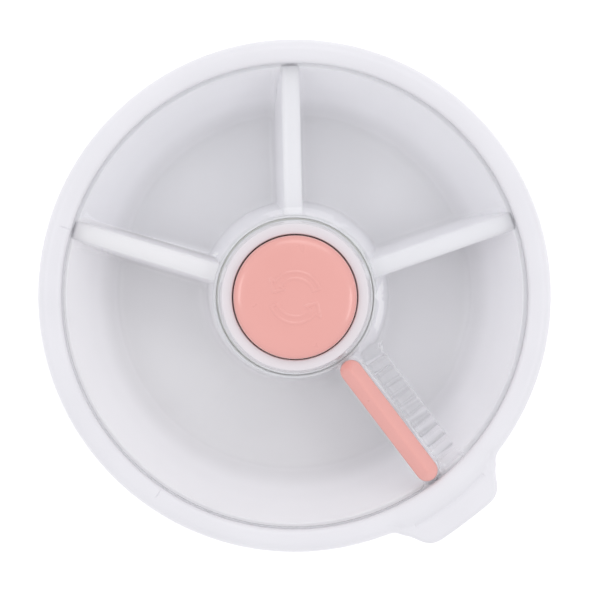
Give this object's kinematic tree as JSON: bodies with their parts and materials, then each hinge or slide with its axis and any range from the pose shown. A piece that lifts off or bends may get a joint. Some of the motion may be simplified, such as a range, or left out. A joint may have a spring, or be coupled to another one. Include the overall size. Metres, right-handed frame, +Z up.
{
  "type": "rotary compartment dispenser",
  "caption": "Round divided container with a lift-out tray, a lid ring with a pull tab, and a clear rotating cover with an open sector, a handle bar and a central push button.",
  "frame": {"origin": "centre of the resting face, the underside of the non-slip pad, on the axis that the cover turns about", "axes": "+Z up along the cover's axis, -Y towards the pull tab and the handle bar, +X to the side of the bar that has the grip ribs"},
  "size_m": [0.175, 0.1845, 0.0508],
  "materials": {
    "shell_white": "satin white moulded shell with soft gloss",
    "tray_white": "smooth white moulded tray",
    "collar_white": "satin white",
    "clear_plastic": "clear, glossy",
    "coral_plastic": "satin coral pink",
    "silicone": "matt translucent white silicone",
    "inner_plastic": "natural acetal",
    "steel": "stainless"
  },
  "bodies": {
    "base": {"outer_case": "shell_white", "non_slip_pad": "silicone"},
    "tray": {"compartment_tray": "tray_white"},
    "lid_frame": {"lid_ring": "shell_white", "cover_retainer": "shell_white", "lid_seal": "silicone", "spindle": "inner_plastic", "index_crown": "inner_plastic", "foot_plug": "inner_plastic", "thrust_washer": "inner_plastic", "retaining_clip": "steel"},
    "cover": {"clear_cover": "clear_plastic", "handle_bar": "coral_plastic", "handle_screws": "steel", "hub_collar": "collar_white", "spring_housing": "inner_plastic", "hub_screws": "steel", "hub_seal": "silicone", "button_spring": "steel"},
    "button": {"push_button": "coral_plastic", "button_stem": "inner_plastic", "stem_screw": "steel"}
  },
  "joints": [
    {"name": "tray_lift", "type": "slide", "parent": "base", "child": "tray", "axis": [0, 0, 1], "range_m": [0, 0.06]},
    {"name": "lid_lift", "type": "slide", "parent": "tray", "child": "lid_frame", "axis": [0, 0, 1], "range_m": [0, 0.06]},
    {"name": "cover_turn", "type": "hinge", "parent": "lid_frame", "child": "cover", "pos_m": [0, 0, 0.041], "axis": [0, 0, 1], "continuous": true},
    {"name": "button_press", "type": "slide", "parent": "cover", "child": "button", "axis": [0, 0, -1], "range_m": [0, 0.0035], "stiffness_N_per_m": 600, "springref_m": -0.004, "deforming": ["button_spring"]}
  ]
}
